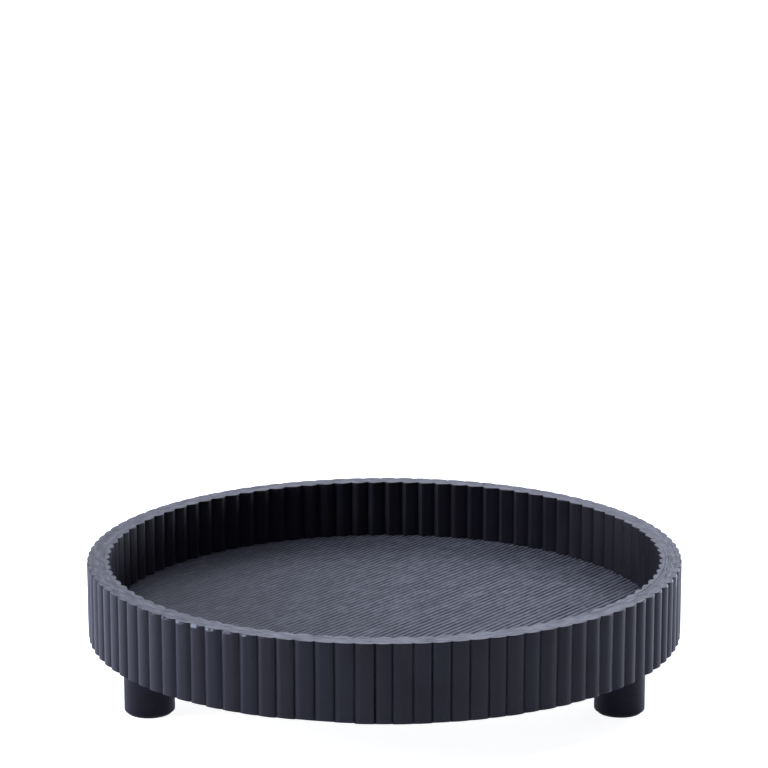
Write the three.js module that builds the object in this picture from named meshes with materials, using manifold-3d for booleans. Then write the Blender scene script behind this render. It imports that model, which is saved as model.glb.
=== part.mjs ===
// Round footed tray with reeded sides. Millimetres, +Z up, front towards -Y.
// The origin lies on the ground under the centre of the tray.
import * as THREE from 'three';
import { mergeVertices } from 'three/addons/utils/BufferGeometryUtils.js';
import Module from 'manifold-3d';

const wasm = await Module();
wasm.setup();

// Overall sizes
const trayRadius = 175; // out to the crests of the outer slats
const wallHeight = 45.4; // lower edge of the wall to the rim

// Slats: strips of wood with arched faces, a few side by side on one thin back
const outerSlatCount = 100;
const innerSlatCount = 95;
const slatsPerStrip = 5;
const outerSlatDepth = 3.5; // back to crest
const innerSlatDepth = 3.9;
const outerSlatWeb = 1.5; // thickness left at the bottom of the grooves
const innerSlatWeb = 0.8;
const slatArcSteps = 6; // flats round each arched face
const stripGap = 0.2; // between neighbouring strips

// Hoop: two bent plies between the two rows of slats
const outerHoopThickness = 3.1;
const innerHoopThickness = 2.8;
const glueLine = 0.1; // between a hoop and what is glued to it

// Floor panel: a disc inside the outer hoop, level with its lower edge
const panelThickness = 10;
const panelFit = 0.2; // round the panel's edge

// Feet: three turned posts under the floor panel, one at the rear
const footCount = 3;
const footRadius = 14.4;
const footHeight = 25.1;
const footInset = 6.3; // from the tray's outermost line to the foot's outer side
const footEdgeRadius = 1.3; // rounding round the foot's lower edge
const footEdgeSteps = 3;

// Felt pads under the feet
const padThickness = 1;
const padMargin = 0.3; // round the pad, on the foot's flat underside

// Wood screws, up through the feet into the floor panel
const screwRadius = 2;
const screwHeadOverhang = 1.9; // of the head past the shank
const screwHeadHeight = 2.6;
const screwHeadRim = 1.3; // straight part of the head's side, below its crown
const screwPointLength = 3;
const screwCover = 3; // wood left between the screw's point and the floor
const screwClearance = 0.3; // round the screw and past its point
const counterboreDepth = 6;
const roundSides = 32; // flats round a foot or a pad
const screwSides = 16;

// Levels above the ground
const footBottom = padThickness;
const wallBottom = footBottom + footHeight;
const floorLevel = wallBottom + panelThickness;
const rimLevel = wallBottom + wallHeight;
const screwSeat = footBottom + counterboreDepth;
const screwPoint = floorLevel - screwCover;

// Radii that follow from a fit
const screwHeadRadius = screwRadius + screwHeadOverhang;
const screwHoleRadius = screwRadius + screwClearance;
const counterboreRadius = screwHeadRadius + screwClearance;
const padRadius = footRadius - footEdgeRadius - padMargin;

// Distances from the tray's axis to the flats of the wall's layers, from the outside in
const outerSlatBack = trayRadius - outerSlatDepth;
const outerHoopOutside = outerSlatBack - glueLine;
const outerHoopInside = outerHoopOutside - outerHoopThickness;
const innerHoopOutside = outerHoopInside - glueLine;
const innerHoopInside = innerHoopOutside - innerHoopThickness;
const innerSlatBack = innerHoopInside - glueLine;
const panelRadius = outerHoopInside - panelFit;
const footCircleRadius = trayRadius - footInset - footRadius;

// The two rows of slats. Direction 1 stands out from the wall and -1 stands into the tray.
const outerRow = {
  slatCount: outerSlatCount,
  depth: outerSlatDepth,
  web: outerSlatWeb,
  backDistance: outerSlatBack,
  direction: 1,
};
const innerRow = {
  slatCount: innerSlatCount,
  depth: innerSlatDepth,
  web: innerSlatWeb,
  backDistance: innerSlatBack,
  direction: -1,
};

// The first slat is centred on the front and the first foot stands at the rear
const frontAngle = -Math.PI / 2;
const rearAngle = Math.PI / 2;

// Finishes
const finishes = {
  slat: { color: 0x2b2c34, roughness: 0.5, metalness: 0 },
  hoop: { color: 0x30313a, roughness: 0.5, metalness: 0 },
  floor: { color: 0x2f3138, roughness: 0.5, metalness: 0 },
  foot: { color: 0x26272e, roughness: 0.5, metalness: 0 },
  felt: { color: 0x17171a, roughness: 0.95, metalness: 0 },
  steel: { color: 0xa8abb0, roughness: 0.35, metalness: 1 },
};

const tray = new THREE.Group();

// Adds one sub-part to the tray, with a material of its own.
function addPiece(name, geometry, finish, x = 0, y = 0, z = 0) {
  const piece = new THREE.Mesh(geometry, new THREE.MeshStandardMaterial(finishes[finish]));
  piece.name = name;
  piece.position.set(x, y, z);
  tray.add(piece);
}

// A point of the plan at a distance from the axis, moved sideways along the tangent.
function planPoint(angle, distance, sideways) {
  const x = distance * Math.cos(angle) - sideways * Math.sin(angle);
  const y = distance * Math.sin(angle) + sideways * Math.cos(angle);
  return new THREE.Vector2(x, y);
}

// A regular outline whose flats lie at a distance from the axis, one of them centred on the front.
function flatSidedOutline(flatDistance, sides) {
  const halfAngle = Math.PI / sides;
  const halfFlat = flatDistance * Math.tan(halfAngle);
  return Array.from({ length: sides }, (_, i) => {
    const angle = frontAngle + 2 * i * halfAngle;
    return planPoint(angle, flatDistance, halfFlat);
  });
}

// An upright solid on a plan outline, with its lower face at zero.
function upright(outline, height, holes = []) {
  const shape = new THREE.Shape(outline);
  shape.holes = holes.map((hole) => new THREE.Path(hole));
  return new THREE.ExtrudeGeometry(shape, { depth: height, bevelEnabled: false });
}

// A solid turned about the Z axis from a profile of [radius, height] points.
function turned(profile, sides) {
  const points = profile.map(([radius, height]) => new THREE.Vector2(radius, height));
  return new THREE.LatheGeometry(points, sides).rotateX(Math.PI / 2);
}

// A plain round solid between two levels.
function turnedDisc(radius, bottom, top, sides) {
  return turned([[0, bottom], [radius, bottom], [radius, top], [0, top]], sides);
}

function toSolid(geometry) {
  const bare = geometry.index ? geometry.toNonIndexed() : geometry.clone();
  bare.deleteAttribute('normal');
  bare.deleteAttribute('uv');
  const merged = mergeVertices(bare);
  return new wasm.Manifold(
    new wasm.Mesh({
      numProp: 3,
      vertProperties: new Float32Array(merged.attributes.position.array),
      triVerts: new Uint32Array(merged.index.array),
    }),
  );
}

function toGeometry(solid) {
  const mesh = solid.getMesh();
  const geometry = new THREE.BufferGeometry();
  geometry.setAttribute('position', new THREE.BufferAttribute(mesh.vertProperties, mesh.numProp));
  geometry.setIndex(new THREE.BufferAttribute(mesh.triVerts, 1));
  return geometry;
}

// Plan outline of one strip of slats. Each face is an arc from groove to groove, and the back has one
// flat for each slat.
function stripOutline({ backDistance, depth, web, slatCount, direction }, firstSlat, slatsInStrip) {
  const halfAngle = Math.PI / slatCount;
  const grooveDistance = backDistance + direction * web;
  const halfFace = grooveDistance * Math.tan(halfAngle);
  const halfBack = backDistance * Math.tan(halfAngle);
  const faceHeight = depth - web;
  const arcRadius = (halfFace ** 2 + faceHeight ** 2) / (2 * faceHeight);
  const halfTurn = Math.asin(halfFace / arcRadius);
  const face = [];
  const back = [];
  for (let i = 0; i < slatsInStrip; i += 1) {
    const angle = frontAngle + 2 * (firstSlat + i) * halfAngle;
    const startTrim = i === 0 ? stripGap / 2 : 0;
    const endTrim = i === slatsInStrip - 1 ? stripGap / 2 : 0;
    face.push(planPoint(angle, grooveDistance, startTrim - halfFace));
    for (let step = 1; step < slatArcSteps; step += 1) {
      const turn = halfTurn * ((2 * step) / slatArcSteps - 1);
      const rise = faceHeight - arcRadius * (1 - Math.cos(turn));
      face.push(planPoint(angle, grooveDistance + direction * rise, arcRadius * Math.sin(turn)));
    }
    back.push(planPoint(angle, backDistance, startTrim - halfBack));
    if (i === slatsInStrip - 1) {
      face.push(planPoint(angle, grooveDistance, halfFace - endTrim));
      back.push(planPoint(angle, backDistance, halfBack - endTrim));
    }
  }
  return [...face, ...back.reverse()];
}

// A whole row of slats, as named strips that stand on a level and reach up to the rim.
function addSlatRow(name, row, bottom) {
  const stripCount = Math.ceil(row.slatCount / slatsPerStrip);
  for (let strip = 0; strip < stripCount; strip += 1) {
    const firstSlat = strip * slatsPerStrip;
    const slatsInStrip = Math.min(slatsPerStrip, row.slatCount - firstSlat);
    const outline = stripOutline(row, firstSlat, slatsInStrip);
    const number = String(strip + 1).padStart(2, '0');
    addPiece(`${name}_${number}`, upright(outline, rimLevel - bottom), 'slat', 0, 0, bottom);
  }
}

// One bent ply, from a level up to the rim.
function addHoop(name, outline, hole, bottom) {
  addPiece(name, upright(outline, rimLevel - bottom, [hole]), 'hoop', 0, 0, bottom);
}

// Two plies. The outer one wraps the floor panel, the inner one stands on it.
function addHoops() {
  const outerOutline = flatSidedOutline(outerHoopOutside, outerSlatCount);
  const outerHole = flatSidedOutline(outerHoopInside, outerSlatCount);
  addHoop('outer_hoop', outerOutline, outerHole, wallBottom);
  const innerOutline = flatSidedOutline(innerHoopOutside, outerSlatCount);
  const innerHole = flatSidedOutline(innerHoopInside, innerSlatCount);
  addHoop('inner_hoop', innerOutline, innerHole, floorLevel);
}

function footPlace(index) {
  return planPoint(rearAngle + (2 * Math.PI * index) / footCount, footCircleRadius, 0);
}

// The floor disc, with a blind hole in its underside over each foot for the screw.
function addFloorPanel() {
  let panel = toSolid(upright(flatSidedOutline(panelRadius, outerSlatCount), panelThickness));
  const holeTop = screwPoint - wallBottom + screwClearance;
  const hole = turnedDisc(screwHoleRadius, screwSeat - wallBottom, holeTop, screwSides);
  for (let i = 0; i < footCount; i += 1) {
    const place = footPlace(i);
    panel = panel.subtract(toSolid(hole.clone().translate(place.x, place.y, 0)));
  }
  addPiece('floor_panel', toGeometry(panel), 'floor', 0, 0, wallBottom);
}

// A turned post with a rounded lower edge, a hole for the screw and a counterbore for its head.
function footGeometry() {
  const edge = Array.from({ length: footEdgeSteps + 1 }, (_, step) => {
    const turn = (Math.PI / 2) * (step / footEdgeSteps);
    const radius = footRadius - footEdgeRadius * (1 - Math.sin(turn));
    return [radius, footEdgeRadius * (1 - Math.cos(turn))];
  });
  const shoulder = [screwHoleRadius, counterboreDepth];
  const bore = [[counterboreRadius, counterboreDepth], [counterboreRadius, 0]];
  const top = [[footRadius, footHeight], [screwHoleRadius, footHeight]];
  return turned([shoulder, ...bore, ...edge, ...top, shoulder], roundSides);
}

// A round-headed screw, point up, with the underside of its head at zero.
function screwGeometry() {
  const length = screwPoint - screwSeat;
  const crown = [[0, -screwHeadHeight], [screwRadius, -screwHeadHeight]];
  const side = [[screwHeadRadius, -screwHeadRim], [screwHeadRadius, 0]];
  const shank = [[screwRadius, 0], [screwRadius, length - screwPointLength], [0, length]];
  return turned([...crown, ...side, ...shank], screwSides);
}

function addFeet() {
  for (let i = 0; i < footCount; i += 1) {
    const { x, y } = footPlace(i);
    addPiece(`foot_${i + 1}`, footGeometry(), 'foot', x, y, footBottom);
    addPiece(`foot_screw_${i + 1}`, screwGeometry(), 'steel', x, y, screwSeat);
    addPiece(`foot_pad_${i + 1}`, turnedDisc(padRadius, 0, padThickness, roundSides), 'felt', x, y);
  }
}

addFloorPanel();
addHoops();
addSlatRow('outer_slats', outerRow, wallBottom);
addSlatRow('inner_slats', innerRow, floorLevel);
addFeet();

export default tray;
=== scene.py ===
# %% [markdown]
# # A round tray with a reeded wall
#
# The tray is a low round wall of upright slats with arched faces, inside and out, on a flat floor and three
# turned feet. Its wood is painted a satin bluish black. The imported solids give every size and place. This
# lesson dresses them: each solid gets a finer surface, worked out as whole numpy arrays, and a procedural
# paint, felt or metal.

# %% Load the solids
import math

import bmesh
import bpy
import numpy as np
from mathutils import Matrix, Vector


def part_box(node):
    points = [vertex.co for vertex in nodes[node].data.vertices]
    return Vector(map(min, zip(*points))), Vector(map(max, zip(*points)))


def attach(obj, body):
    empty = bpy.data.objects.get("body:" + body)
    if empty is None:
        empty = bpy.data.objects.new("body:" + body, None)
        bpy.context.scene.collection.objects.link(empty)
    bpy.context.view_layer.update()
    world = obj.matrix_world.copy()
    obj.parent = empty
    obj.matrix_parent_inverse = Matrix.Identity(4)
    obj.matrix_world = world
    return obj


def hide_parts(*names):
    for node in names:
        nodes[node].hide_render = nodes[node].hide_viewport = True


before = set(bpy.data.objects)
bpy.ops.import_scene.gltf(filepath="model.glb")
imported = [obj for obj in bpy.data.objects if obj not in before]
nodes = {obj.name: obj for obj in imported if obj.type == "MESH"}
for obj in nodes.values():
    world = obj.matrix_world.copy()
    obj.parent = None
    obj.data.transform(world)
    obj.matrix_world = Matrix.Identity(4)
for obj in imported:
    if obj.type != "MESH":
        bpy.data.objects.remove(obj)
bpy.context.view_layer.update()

# %% [markdown]
# ## Sizes
#
# A surface that takes the place of a solid should have its size, so the sizes are measured on the solids
# and not typed in again. A distance from an upright axis and a level above the ground say all that is
# needed of a round thing.

# %% Measure the solids
MM = 0.001


def named(start):
    """The names of all solids that start with some letters, in order."""
    return sorted(name for name in nodes if name.startswith(start))


def corners(node):
    """The corner points of a solid, one row of x, y and z for each."""
    mesh = nodes[node].data
    flat = np.empty(3 * len(mesh.vertices))
    mesh.vertices.foreach_get("co", flat)
    return flat.reshape(-1, 3)


def off_axis(node, place=(0.0, 0.0)):
    """How far each corner of a solid lies from an upright axis at a place, or from the tray's own."""
    x, y = (corners(node)[:, :2] - place).T
    return np.hypot(x, y)


def reach(node):
    """The least and the greatest distance of a solid's corners from the tray's axis."""
    distance = off_axis(node)
    return distance.min(), distance.max()


def levels(node):
    """The lowest and the highest level of a solid."""
    low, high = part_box(node)
    return low.z, high.z


wall_bottom, rim_level = levels("outer_hoop")
floor_level = levels("floor_panel")[1]
print(f"wall {wall_bottom:.4f} to {rim_level:.4f} m, floor at {floor_level:.4f} m")

# %% [markdown]
# ## Tools for surfaces
#
# Every surface here is a grid of points: rows along a path, columns round a section. Neighbouring points
# make quads, and a fan of triangles closes an end. Blender can also loft or spin shapes with operators,
# but arrays keep each formula in sight and run in a moment. Handmade things are never quite even, so a
# smooth noise gives small, repeatable deviations.


# %% Join a grid of points into faces
def grid_quads(rows, columns, wrap_rows=False, wrap_columns=False):
    """Quads between neighbouring points of a grid, numbered row by row.

    A wrapped direction also joins its last line of points to its first.
    """
    row = np.arange(rows if wrap_rows else rows - 1)
    column = np.arange(columns if wrap_columns else columns - 1)
    row, column = np.meshgrid(row, column, indexing="ij")
    next_row = (row + 1) % rows
    next_column = (column + 1) % columns
    loop = [row * columns + column, row * columns + next_column]
    loop += [next_row * columns + next_column, next_row * columns + column]
    return np.stack(loop, axis=-1).reshape(-1, 4)


def fan(ring, centre):
    """Triangles from each side of a closed ring of point numbers to one centre point."""
    return np.stack([ring, np.roll(ring, -1), np.full_like(ring, centre)], axis=-1)


def signed_volume(points, triangles):
    """One sixth of the sum of the triple products of the triangles' corners: positive if they face out."""
    first, second, third = (points[triangles[:, i]] for i in range(3))
    return np.einsum("ij,ij->", first, np.cross(second, third)) / 6


# %% Make closed meshes
SHARP_ANGLE = math.radians(42)
NO_TRIANGLES = np.empty((0, 3), int)


def add_object(name, data):
    """A new object in the scene that shows a mesh, a camera or a lamp."""
    added = bpy.data.objects.new(name, data)
    bpy.context.scene.collection.objects.link(added)
    return added


def closed_mesh(name, points, quads, triangles=NO_TRIANGLES):
    """A smooth-shaded mesh object of closed bodies, with all faces turned outwards."""
    split = np.concatenate([quads[:, [0, 1, 2]], quads[:, [0, 2, 3]], triangles])
    if signed_volume(points, split) < 0:
        quads = quads[:, ::-1]
        triangles = triangles[:, ::-1]
    mesh = bpy.data.meshes.new(name)
    mesh.from_pydata(points.tolist(), [], quads.tolist() + triangles.tolist())
    mesh.shade_smooth()
    mesh.set_sharp_from_angle(angle=SHARP_ANGLE)
    return add_object(name, mesh)


def ring_mesh(name, points):
    """A closed ring from an array of step, section point and x, y, z: the grid joins up both ways."""
    steps, columns, _ = points.shape
    quads = grid_quads(steps, columns, wrap_rows=True, wrap_columns=True)
    return closed_mesh(name, points.reshape(-1, 3), quads)


# %% Smooth noise for handmade surfaces
def smooth_noise(u, v, seed):
    """Values from -1 to 1 that change smoothly over u and v.

    Random values sit on the whole numbers of both directions. Between them they are mixed with the
    weight 3t squared minus 2t cubed, where t is the share of the way.
    """
    u, v = np.broadcast_arrays(np.asarray(u, float), np.asarray(v, float))
    low_u, low_v = np.floor(u).astype(int), np.floor(v).astype(int)
    grid_size = (np.ptp(low_u) + 2, np.ptp(low_v) + 2)
    grid = np.random.default_rng(seed).uniform(-1, 1, grid_size)
    i, j = low_u - low_u.min(), low_v - low_v.min()
    s, t = u - low_u, v - low_v
    s, t = s * s * (3 - 2 * s), t * t * (3 - 2 * t)
    near = grid[i, j] * (1 - t) + grid[i, j + 1] * t
    far = grid[i + 1, j] * (1 - t) + grid[i + 1, j + 1] * t
    return near * (1 - s) + far * s


def bump_at(angle, centre, width):
    """A bell from 0 to 1 over an angle: the exponential of minus the square of the way from its centre."""
    turn = (angle - centre + math.pi) % (2 * math.pi) - math.pi
    return np.exp(-((turn / width) ** 2))


# %% [markdown]
# ## Tools for paint
#
# A material is a small network of nodes. A few helpers keep the networks short: they link or set sockets,
# make a sum, move a value to another range, mix two colours or two values, and make a noise that is
# stretched to a size in metres along a direction. On the wall, a place is a way round, a distance from the
# axis and a level, so that strokes and streaks can follow the ring.


# %% Helpers for sockets and sums
def feed(tree, socket, source):
    """Links a socket to an output, or sets it to a plain value."""
    if isinstance(source, bpy.types.NodeSocket):
        tree.links.new(source, socket)
    else:
        socket.default_value = source


def feed_all(tree, node, sources):
    """Links or sets the inputs of a node by name."""
    for name, source in sources.items():
        feed(tree, node.inputs[name], source)


def compute(tree, operation, first, second=0.0, third=0.0, clamp=False):
    """The result of one sum on two or three values."""
    sums = tree.nodes.new("ShaderNodeMath")
    sums.operation = operation
    sums.use_clamp = clamp
    for socket, source in zip(sums.inputs, (first, second, third)):
        feed(tree, socket, source)
    return sums.outputs[0]


def fit_range(tree, value, low, high, new_low=0.0, new_high=1.0):
    """A value moved from one range to another with soft ends, and held there."""
    ranges = tree.nodes.new("ShaderNodeMapRange")
    ranges.interpolation_type = "SMOOTHSTEP"
    for socket, source in zip(ranges.inputs, (value, low, high, new_low, new_high)):
        feed(tree, socket, source)
    return ranges.outputs[0]


def mix_colours(tree, share, first, second):
    """A colour between two others."""
    mixer = tree.nodes.new("ShaderNodeMix")
    mixer.data_type = "RGBA"
    feed(tree, mixer.inputs[0], share)
    feed(tree, mixer.inputs[6], first)
    feed(tree, mixer.inputs[7], second)
    return mixer.outputs[2]


def mix_values(tree, share, first, second):
    """A value between two others."""
    mixer = tree.nodes.new("ShaderNodeMix")
    feed(tree, mixer.inputs[0], share)
    feed(tree, mixer.inputs[2], first)
    feed(tree, mixer.inputs[3], second)
    return mixer.outputs[0]


# %% Helpers for places and noises
WALL_RADIUS = 170 * MM
BUTT_SEAM = math.radians(67.8)


def stretched_noise(tree, place, size, turn=0.0, detail=2.0):
    """A noise whose patches have a size in metres along x, y and z, turned about the upright axis."""
    mapping = tree.nodes.new("ShaderNodeMapping")
    mapping.vector_type = "TEXTURE"
    feed_all(tree, mapping, {"Rotation": (0, 0, turn), "Scale": size, "Vector": place})
    noise = tree.nodes.new("ShaderNodeTexNoise")
    feed_all(tree, noise, {"Scale": 1.0, "Detail": detail, "Vector": mapping.outputs[0]})
    return noise.outputs[0]


def object_place(tree):
    """The point of the surface in the piece's own coordinates."""
    return tree.nodes.new("ShaderNodeTexCoord").outputs["Object"]


def parts_of(tree, vector):
    """The x, y and z of a vector."""
    apart = tree.nodes.new("ShaderNodeSeparateXYZ")
    tree.links.new(vector, apart.inputs[0])
    return apart.outputs


def ring_place(tree):
    """The point of the surface as a way round the wall, a distance from the axis and a level.

    The way round starts and ends at the hoop's butt seam, where a break in the paint is at home.
    """
    turned = tree.nodes.new("ShaderNodeMapping")
    feed_all(tree, turned, {"Rotation": (0, 0, math.pi - BUTT_SEAM), "Vector": object_place(tree)})
    x, y, z = parts_of(tree, turned.outputs[0])
    angle = compute(tree, "ARCTAN2", y, x)
    squares = compute(tree, "ADD", compute(tree, "MULTIPLY", x, x), compute(tree, "MULTIPLY", y, y))
    joined = tree.nodes.new("ShaderNodeCombineXYZ")
    way_round = compute(tree, "MULTIPLY", angle, WALL_RADIUS)
    feed_all(tree, joined, {"X": way_round, "Y": compute(tree, "SQRT", squares), "Z": z})
    return joined.outputs[0]


def attribute_value(tree, name):
    """A number that the mesh stores at its points."""
    reader = tree.nodes.new("ShaderNodeAttribute")
    reader.attribute_name = name
    return reader.outputs["Fac"]


# %% A new material and its relief
def new_material(name, constants):
    """A material, its network and its Principled shader, with the shader's constants set by name."""
    material = bpy.data.materials.new(name)
    material.use_nodes = True
    tree = material.node_tree
    shader = tree.nodes["Principled BSDF"]
    feed_all(tree, shader, constants)
    return material, tree, shader


def relief(tree, shader, height, depth):
    """Bumps of a depth in metres, from a height between 0 and 1, on a shader's normal."""
    bumps = tree.nodes.new("ShaderNodeBump")
    feed_all(tree, bumps, {"Distance": depth, "Height": height})
    tree.links.new(bumps.outputs[0], shader.inputs["Normal"])


# %% [markdown]
# ## The brushed paint
#
# One pot of paint went over the whole tray, so its effect is one node group. Brush strokes leave fine
# ridges along the stroke, and the film is a little thicker and shinier in some patches than in others. The
# tint moves between a cool and a warm black, because no two slats took the paint alike.


# %% Node group for brushed paint
PAINT_PATCH = (0.035, 0.035, 0.035)
TINT_DRIFT = 0.8
STROKE_SHADE = 0.35
PAINT_ROUGHNESS = (0.36, 0.54)
BLACK = (0.0, 0.0, 0.0, 1.0)


def group_with(name, inputs, outputs):
    """A shader node group with named sockets. Returns the group, its input node and its output node."""
    group = bpy.data.node_groups.new(name, "ShaderNodeTree")
    for direction, sockets in (("INPUT", inputs), ("OUTPUT", outputs)):
        for socket_name, kind in sockets.items():
            group.interface.new_socket(socket_name, in_out=direction, socket_type="NodeSocket" + kind)
    print(f"{name}: from {', '.join(inputs)} to {', '.join(outputs)}")
    return group, group.nodes.new("NodeGroupInput"), group.nodes.new("NodeGroupOutput")


def make_brushed_paint():
    """Colour, roughness and height of brushed paint, from the place, the stroke's size and a tint.

    The tint plus a drift from patch to patch chooses between the cool and the warm black. Between the
    strokes the colour is darker. The patches and half the strokes make the roughness.
    """
    inputs = {"Place": "Vector", "Stroke": "Vector", "Tint": "Float", "Cool": "Color", "Warm": "Color"}
    outputs = {"Colour": "Color", "Roughness": "Float", "Height": "Float"}
    group, given, result = group_with("brushed paint", inputs, outputs)
    place, stroke, tint, cool, warm = (given.outputs[name] for name in inputs)
    strokes = stretched_noise(group, place, stroke, detail=4.0)
    patches = stretched_noise(group, place, PAINT_PATCH)
    drift = compute(group, "MULTIPLY_ADD", patches, TINT_DRIFT, -TINT_DRIFT / 2)
    plain = mix_colours(group, compute(group, "ADD", tint, drift, clamp=True), cool, warm)
    dark = mix_colours(group, STROKE_SHADE, plain, BLACK)
    thickness = fit_range(group, strokes, 0.3, 0.75)
    gloss = compute(group, "ADD", compute(group, "MULTIPLY", strokes, 0.5), patches)
    made = {
        "Colour": mix_colours(group, thickness, dark, plain),
        "Roughness": fit_range(group, gloss, 0.4, 1.1, *PAINT_ROUGHNESS),
        "Height": strokes,
    }
    feed_all(group, result, made)
    return group


brushed_paint = make_brushed_paint()

# %% [markdown]
# ## The rim's film
#
# On top of the wall the paint was dragged round the rim, over the slats' ends and the hoop together, so it
# closes the joints there. It has streaks along the rim and small pits where it sank into end grain, and
# pale dust lies on it in short streaks of its own.


# %% Node group for the rim's film
FILM_STREAK = (0.012, 0.004, 0.01)
FILM_PIT = (0.0036, 0.0026, 0.003)
DUST_STREAK = (0.009, 0.0024, 0.01)
STREAK_HEIGHT = 3.0
FILM_ROUGHNESS = (0.28, 0.48)


def make_rim_film():
    """Dust, roughness and height of the film on the rim, from the place round the ring.

    The height is that of the pits plus three times that of the streaks, and the streaks make the roughness.
    """
    outputs = {"Dust": "Float", "Roughness": "Float", "Height": "Float"}
    group, given, result = group_with("rim film", {"Place": "Vector"}, outputs)
    place = given.outputs["Place"]
    streaks = stretched_noise(group, place, FILM_STREAK, detail=3.0)
    sunk = fit_range(group, stretched_noise(group, place, FILM_PIT, detail=1.0), 0.26, 0.38)
    settled = stretched_noise(group, place, DUST_STREAK, detail=3.0)
    made = {
        "Dust": fit_range(group, settled, 0.48, 0.66),
        "Roughness": fit_range(group, streaks, 0.3, 0.7, *FILM_ROUGHNESS),
        "Height": compute(group, "ADD", sunk, compute(group, "MULTIPLY", streaks, STREAK_HEIGHT)),
    }
    feed_all(group, result, made)
    return group


rim_film = make_rim_film()

# %% [markdown]
# ## Wear on the edges
#
# Paint rubs thin where hands and cloths catch an edge, and small knocks chip it down to the pale primer.
# Each mesh stores how near a point lies to an edge and how much wear that place gets, and the group breaks
# this up with a fine noise, so the wear is ragged.


# %% Node group for worn edges
WEAR_GRIT = (0.003, 0.003, 0.003)


def make_worn_edge():
    """A mask of rubbed paint: the wear plus a fine noise, cut off softly, on edges only."""
    inputs = {"Place": "Vector", "Edge": "Float", "Wear": "Float"}
    group, given, result = group_with("worn edge", inputs, {"Mask": "Float"})
    place, edge, wear = (given.outputs[name] for name in inputs)
    ragged = compute(group, "ADD", wear, stretched_noise(group, place, WEAR_GRIT, detail=4.0))
    mask = compute(group, "MULTIPLY", fit_range(group, ragged, 0.85, 1.25), edge)
    group.links.new(mask, result.inputs["Mask"])
    return group


worn_edge = make_worn_edge()

# %% Place a group in a material
COOL_BLACK = (0.0056, 0.0063, 0.0142, 1.0)
WARM_BLACK = (0.0084, 0.0060, 0.0130, 1.0)


def use_group(tree, group, **sources):
    """A copy of a group in a material, with its inputs linked or set by name."""
    placed = tree.nodes.new("ShaderNodeGroup")
    placed.node_tree = group
    feed_all(tree, placed, sources)
    return placed.outputs


def brush_on(tree, place, stroke, tint, cool=COOL_BLACK, warm=WARM_BLACK):
    """Brushed paint in a material, with strokes of a size in metres."""
    return use_group(tree, brushed_paint, Place=place, Stroke=stroke, Tint=tint, Cool=cool, Warm=warm)


# %% [markdown]
# ## Camera, stage and light
#
# The camera stands where the photograph was taken from: well back, a little above the rim, with a long
# lens. The stage is a wide pale floor that takes a soft shadow. The camera sees it and the sky as white.
# Reflections see the floor dimmer, and the sky dark behind the camera and bright behind the tray, as in a
# studio with a white backdrop. From below the floor is clear, so that the underside can be looked at. The
# paint is so dark that most of what shows on it is reflection, so wide soft surroundings matter more than
# strong lamps.

# %% Camera
CAMERA_PLACE = (0.00045, -1.5885, 0.5316)
CAMERA_TILT = math.radians(90 - 12.706)
CAMERA_ROLL = math.radians(0.08)
SENSOR_WIDTH = 36.0
LENS = 130.95
camera_data = bpy.data.cameras.new("camera")
camera_data.sensor_width = SENSOR_WIDTH
camera_data.lens = LENS
camera = add_object("camera", camera_data)
camera.location = CAMERA_PLACE
camera.rotation_euler = (CAMERA_TILT, CAMERA_ROLL, 0)
bpy.context.scene.camera = camera
bpy.context.scene.view_settings.view_transform = "Standard"
print("camera at", CAMERA_PLACE, "with a lens of", LENS, "mm")


# %% Which rays see the white surroundings
def camera_ray(tree):
    """1 for rays from the camera and 0 for all others."""
    return tree.nodes.new("ShaderNodeLightPath").outputs["Is Camera Ray"]


def sees_white(tree):
    """1 for rays from the camera and for reflected and transmitted rays, and 0 for diffuse light."""
    path = tree.nodes.new("ShaderNodeLightPath")
    shine = compute(tree, "MAXIMUM", path.outputs["Is Glossy Ray"], path.outputs["Is Transmission Ray"])
    return compute(tree, "MAXIMUM", path.outputs["Is Camera Ray"], shine)


# %% Material of the stage
SKY_TINT = (0.90, 0.94, 1.16, 1.0)
WHITE = (1.0, 1.0, 1.0, 1.0)
STAGE_CARD = (0.72, 0.74, 0.78, 1.0)
STAGE_WHITE = 0.92
WHITE_RAMP = (0.15, 0.6)
STAGE_SHINE = 0.41


def stage_glow(tree):
    """The light that the stage's card adds for the rays that see the white surroundings.

    The camera sees it nearly white under the tray and white farther off. Reflected rays see it dimmer and
    in the sky's tint.
    """
    glow = tree.nodes.new("ShaderNodeEmission")
    to_camera = camera_ray(tree)
    away = tree.nodes.new("ShaderNodeVectorMath")
    away.operation = "LENGTH"
    tree.links.new(object_place(tree), away.inputs[0])
    white_share = fit_range(tree, away.outputs["Value"], *WHITE_RAMP, STAGE_WHITE, 1.0)
    shine = compute(tree, "MULTIPLY", sees_white(tree), STAGE_SHINE)
    tree.links.new(mix_colours(tree, to_camera, SKY_TINT, WHITE), glow.inputs["Color"])
    tree.links.new(mix_values(tree, to_camera, shine, white_share), glow.inputs["Strength"])
    return glow.outputs[0]


def make_stage_material():
    """A pale matt card with a glow, clear when seen from below."""
    material = bpy.data.materials.new("stage card")
    material.use_nodes = True
    tree = material.node_tree
    tree.nodes.remove(tree.nodes["Principled BSDF"])
    card = tree.nodes.new("ShaderNodeBsdfDiffuse")
    card.inputs["Color"].default_value = STAGE_CARD
    both = tree.nodes.new("ShaderNodeAddShader")
    tree.links.new(card.outputs[0], both.inputs[0])
    tree.links.new(stage_glow(tree), both.inputs[1])
    side = tree.nodes.new("ShaderNodeNewGeometry")
    clear = tree.nodes.new("ShaderNodeBsdfTransparent")
    choice = tree.nodes.new("ShaderNodeMixShader")
    tree.links.new(side.outputs["Backfacing"], choice.inputs[0])
    tree.links.new(both.outputs[0], choice.inputs[1])
    tree.links.new(clear.outputs[0], choice.inputs[2])
    tree.links.new(choice.outputs[0], tree.nodes["Material Output"].inputs["Surface"])
    return material


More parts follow.
